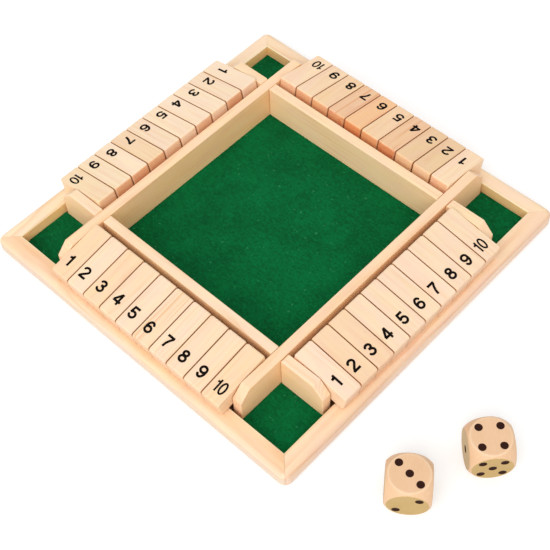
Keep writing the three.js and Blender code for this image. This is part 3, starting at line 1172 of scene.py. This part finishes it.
# %% Printed rows
PRINTED = {
    "south": (
        (-2.3, -2.3, -1.7, -1.6, -2.0, -2.3, -1.3, -1.7, -0.9, -0.4),
        (28.1, 28.2, 28.2, 27.6, 28.3, 29.1, 28.8, 29.5, 29.8, 29.9),
    ),
    "east": (
        (-2.3, -2.1, -1.9, -1.8, -1.6, -1.6, -1.8, -1.2, -1.3, -1.6),
        (27.3, 27.5, 28.0, 28.3, 28.2, 28.9, 29.0, 29.5, 30.2, 30.0),
    ),
    "north": (
        (0.3, -0.7, -1.7, -2.0, -1.7, -1.2, -1.7, -2.2, -1.6, -1.5),
        (25.9, 26.1, 27.2, 27.9, 28.8, 29.4, 29.3, 30.1, 30.5, 30.5),
    ),
    "west": (
        (-2.0, -2.1, -2.1, -2.0, -2.3, -1.4, -1.2, -0.6, -0.5, 0.8),
        (26.0, 25.8, 26.2, 28.0, 28.6, 28.2, 28.5, 28.9, 30.4, 29.8),
    ),
}
for side, (rightward, outward) in PRINTED.items():
    for number, surface in numerals.items():
        node = f"tile_{side}_{number}"
        out, up, axis = tile_axes(hinges[node])
        middle = np.array(hinges[node]["pos_m"]) + up * TILE_THICKNESS / 2
        middle += (out * outward[number - 1] - axis * rightward[number - 1]) * MM
        film = placed(surface, -axis, -out, up, middle)
        make_piece(f"{side}_number_{number}", film, node, black_ink)
print("numbers:", len(PRINTED) * len(numerals))

# %% [markdown]
# ## Dice
#
# A tumbled wooden die is a cube cut by a ball: flat round faces, and ball between them. Along any
# direction the cube's face lies at `half / largest part` and the ball's at its radius, and the
# nearer one counts. Tumbling softens the rim between them, so over a small width w the two are
# blended: where they differ by h, the result is `nearer - max(w - h, 0)^2 / (4 * w)`. A pip is a
# shallow bowl. A die's `values` are the pips on its faces in the order of `DIE_FACES`, which gives
# each face's normal and a direction across it. Opposite faces add up to seven.
#
# The die carries three attributes of its own. `pip` is the distance from the nearest pip's centre
# in millimetres, `flat` is 1 on the flat faces at the sides, which get painted shade, and `rim` is
# up to 1 along the edge of the top, where a highlight is painted.

# %% Dice
DIE_HALF = 15.5 * MM
DIE_BALL = 20.9 * MM
RIM_SOFTNESS = 0.5 * MM
PIP_RADIUS = 2.82 * MM
PIP_DEPTH = 0.6 * MM
PIP_ROUNDNESS = 0.7
PIP_SPREAD = 7.2 * MM
PIP_SPOTS = {
    1: [(0, 0)],
    2: [(-1, -1), (1, 1)],
    3: [(-1, 1), (0, 0), (1, -1)],
    4: [(-1, -1), (-1, 1), (1, -1), (1, 1)],
    5: [(-1, -1), (-1, 1), (0, 0), (1, -1), (1, 1)],
    6: [(-1, -1), (-1, 0), (-1, 1), (1, -1), (1, 0), (1, 1)],
}
DICE = {
    "south": {
        "place": (210.8 * MM, -98.1 * MM),
        "turn": math.radians(37),
        "values": (3, 4, 2, 5, 1, 6),
    },
    "east": {
        "place": (233.3 * MM, -42.3 * MM),
        "turn": math.radians(47),
        "values": (4, 3, 5, 2, 6, 1),
    },
}
DIE_FACES = (
    ((0, 0, 1), (1, 0, 0)),
    ((0, 0, -1), (1, 0, 0)),
    ((0, -1, 0), (1, 0, 0)),
    ((0, 1, 0), (1, 0, 0)),
    ((1, 0, 0), (0, 1, 0)),
    ((-1, 0, 0), (0, 1, 0)),
)


def die_surface(values, cells=88):
    """Points, faces and attributes of a die.

    Each face is a grid with even angles between its lines as seen from the die's centre, so that
    the cells stay alike right out to the corners.
    """
    ticks = np.tan(np.linspace(-1, 1, cells + 1) * np.pi / 4)
    right, upward = np.meshgrid(ticks, ticks)
    points, faces, distances, shaded_flats, highlight_rims = [], [], [], [], []
    for side, (value, (normal, sideways)) in enumerate(zip(values, DIE_FACES)):
        normal, sideways = np.array(normal, float), np.array(sideways, float)
        up = np.cross(normal, sideways)
        direction = normal + right[..., None] * sideways + upward[..., None] * up
        length = np.linalg.norm(direction, axis=-1)
        to_cube = DIE_HALF * length
        differ = np.abs(to_cube - DIE_BALL)
        nearer = np.minimum(to_cube, DIE_BALL)
        radius = nearer - np.maximum(RIM_SOFTNESS - differ, 0) ** 2 / (4 * RIM_SOFTNESS)
        skin = direction / length[..., None] * radius[..., None]
        flat = np.stack([skin @ sideways, skin @ up], -1)
        pips = np.array(PIP_SPOTS[value], float) * PIP_SPREAD
        distance = np.min(np.linalg.norm(flat[:, :, None] - pips, axis=-1), -1)
        bowl = np.clip(1 - (distance / PIP_RADIUS) ** 2, 0, 1) ** PIP_ROUNDNESS * PIP_DEPTH
        points.append((skin - bowl[..., None] * normal).reshape(-1, 3))
        distances.append(distance.ravel() / MM)
        # Flat side faces, which get painted shade.
        shaded_flats.append(((differ > 0) & (to_cube < DIE_BALL)).ravel() * (normal[2] == 0))
        # Edge of the top, which gets a painted highlight.
        highlight_rims.append(np.exp(-((differ / RIM_SOFTNESS) ** 2)).ravel() * (normal[2] > 0))
        faces += grid_faces(cells + 1, cells + 1, start=side * (cells + 1) ** 2)
    fields = {"pip": distances, "flat": shaded_flats, "rim": highlight_rims}
    fields = {name: np.concatenate(arrays) for name, arrays in fields.items()}
    return np.concatenate(points), faces, fields


die_surfaces = {side: die_surface(die["values"]) for side, die in DICE.items()}
print("faces:", {side: len(surface[1]) for side, surface in die_surfaces.items()})

# %% [markdown]
# Beech has no rings to speak of, only short fine flecks. The flat faces at the sides are painted
# a little darker and greener than the top as painted shade, the edge of the top has a painted
# highlight, and the pips hold dark paint.

# %% Beech
def tumbled_beech(name):
    """Fine pale beech with short flecks, painted shade and highlight, and dark paint in the pips.
    """
    graph = Graph(bpy.data.materials.new(name))
    plank = graph.attribute("grain", "Vector")
    flecks = graph.noise(plank, (160, 900, 900))
    cloud = graph.noise(plank, (40, 90, 90))
    wood = graph.mix(flecks * 0.5 + cloud * 0.5, colour(240, 203, 166), colour(222, 176, 134))
    flat = graph.attribute("flat")
    # Painted shade: the flat faces at the sides darker and greener.
    wood = graph.mix(flat, wood, graph.product(wood, colour(216, 218, 172)))
    # Painted highlight: a paler line along the edge of the top.
    wood = graph.mix(graph.attribute("rim") * 0.35, wood, colour(255, 232, 200))
    paint = 1 - graph.attribute("pip").rise(PIP_RADIUS / MM - 0.12, PIP_RADIUS / MM + 0.02)
    return graph.surface(
        {
            "Base Color": graph.mix(paint, wood, colour(46, 17, 7)),
            "Roughness": 0.42 + flecks * 0.12 + paint * 0.2,
            "Specular IOR Level": 0.15,
            "Coat Weight": (1 - paint) * 0.2,
            "Coat Roughness": 0.15,
        }
    )


beech = tumbled_beech("tumbled beech")
for side, die in DICE.items():
    cos, sin = math.cos(die["turn"]), math.sin(die["turn"])
    centre = (*die["place"], DIE_HALF)
    surface = placed(die_surfaces[side], (cos, sin, 0), (-sin, cos, 0), (0, 0, 1), centre)
    names = f"{side}_die", f"die_{side}"
    make_piece(names[0], surface, names[1], beech, names[1], fibre=(sin, -cos, 0))
print("dice:", len(DICE))

# %% [markdown]
# ## Studio
#
# The board lies on white paper in front of a wide, soft lamp, in a room that gives light from all
# round. What the camera sees of the room itself is plain white, also in a reflection. The paper
# adds a little white of its own for the same rays, so that just the darkest part of the shadow
# shows.

# %% Studio
PAPER_HALF = 4.0
PAPER_DROP = 0.02 * MM
PAPER_GLOW = 0.34
ROOM_LIGHT = 0.77


def in_view(graph):
    """1 for a ray that the camera sees, straight or in a reflection or through glass, else 0."""
    camera, glossy, through = (
        graph.add("ShaderNodeLightPath", output=f"Is {kind} Ray")
        for kind in ("Camera", "Glossy", "Transmission")
    )
    return camera.math("MAXIMUM", camera, glossy.math("MAXIMUM", glossy, through))


def white_paper(name):
    """White paper that looks a little brighter to the camera than the light makes it."""
    graph = Graph(bpy.data.materials.new(name))
    tooth = graph.noise(graph.place(), (30, 30, 30))
    glow = graph.mix(in_view(graph), (0, 0, 0, 1), (PAPER_GLOW, PAPER_GLOW, PAPER_GLOW, 1))
    return graph.surface(
        {
            "Base Color": graph.mix(tooth, colour(222, 222, 222), colour(228, 228, 228)),
            "Roughness": 0.9,
            "Specular IOR Level": 0.1,
            "Emission Color": glow,
            "Emission Strength": 1.0,
        }
    )


paper_mesh = bpy.data.meshes.new("white_paper")
corners = [(x * PAPER_HALF, y * PAPER_HALF, -PAPER_DROP) for x, y in SQUARE]
paper_mesh.from_pydata(corners, [], [(0, 1, 2, 3)])
paper_mesh.materials.append(white_paper("white paper"))
paper = bpy.data.objects.new("white_paper", paper_mesh)
bpy.context.scene.collection.objects.link(paper)


def soft_lamp(name, place, size, power):
    """A square white lamp that faces the board."""
    lamp = bpy.data.lights.new(name, "AREA")
    lamp.shape, lamp.size, lamp.energy = "SQUARE", size, power
    holder = bpy.data.objects.new(name, lamp)
    holder.location = place
    holder.rotation_euler = (-Vector(place)).to_track_quat("-Z", "Y").to_euler()
    bpy.context.scene.collection.objects.link(holder)


soft_lamp("window_lamp", place=(0.97, -2.08, 1.93), size=2.6, power=50)

room = bpy.data.worlds.new("room")
graph = Graph(room)
strength = in_view(graph) * (1 - ROOM_LIGHT) + ROOM_LIGHT
light = graph.add("ShaderNodeBackground", None, {"Color": (1, 1, 1, 1), "Strength": strength})
graph.add("ShaderNodeOutputWorld", None, {"Surface": light})
bpy.context.scene.world = room
bpy.context.scene.view_settings.view_transform = "Standard"
print("studio: one lamp and a room at", ROOM_LIGHT)

# %% [markdown]
# ## Camera
#
# The camera looks at the board across its south-east corner, from about 55 degrees above, and is
# tilted a little to one side. Its angles are set, and the three axes of its pose follow from
# them: to the right, up, and back towards the camera.

# %% Camera
AZIMUTH, ELEVATION, ROLL = math.radians(45.854), math.radians(54.760), math.radians(-3.372)
DISTANCE = 863.7 * MM
SENSOR = 36
PICTURE_WIDTH = 550
FOCAL_SHARE = 1159.82 / PICTURE_WIDTH
target = Vector((27.77, -29.58, 5.0)) * MM

level_share = math.cos(ELEVATION)
back = Vector(
    (math.sin(AZIMUTH) * level_share, -math.cos(AZIMUTH) * level_share, math.sin(ELEVATION))
)
level = (-back).cross(Vector((0, 0, 1))).normalized()
upward = level.cross(-back)
right = level * math.cos(ROLL) + upward * math.sin(ROLL)
up = upward * math.cos(ROLL) - level * math.sin(ROLL)
lens = bpy.data.cameras.new("camera")
lens.sensor_width = SENSOR
lens.lens = FOCAL_SHARE * SENSOR
lens.clip_start, lens.clip_end = 0.05, 20
camera = bpy.data.objects.new("camera", lens)
pose = Matrix((right, up, back)).transposed().to_4x4()
pose.translation = target + back * DISTANCE
camera.matrix_world = pose
bpy.context.scene.collection.objects.link(camera)
bpy.context.scene.camera = camera
print("camera:", [round(value, 3) for value in pose.translation], "lens", round(lens.lens, 1), "mm")
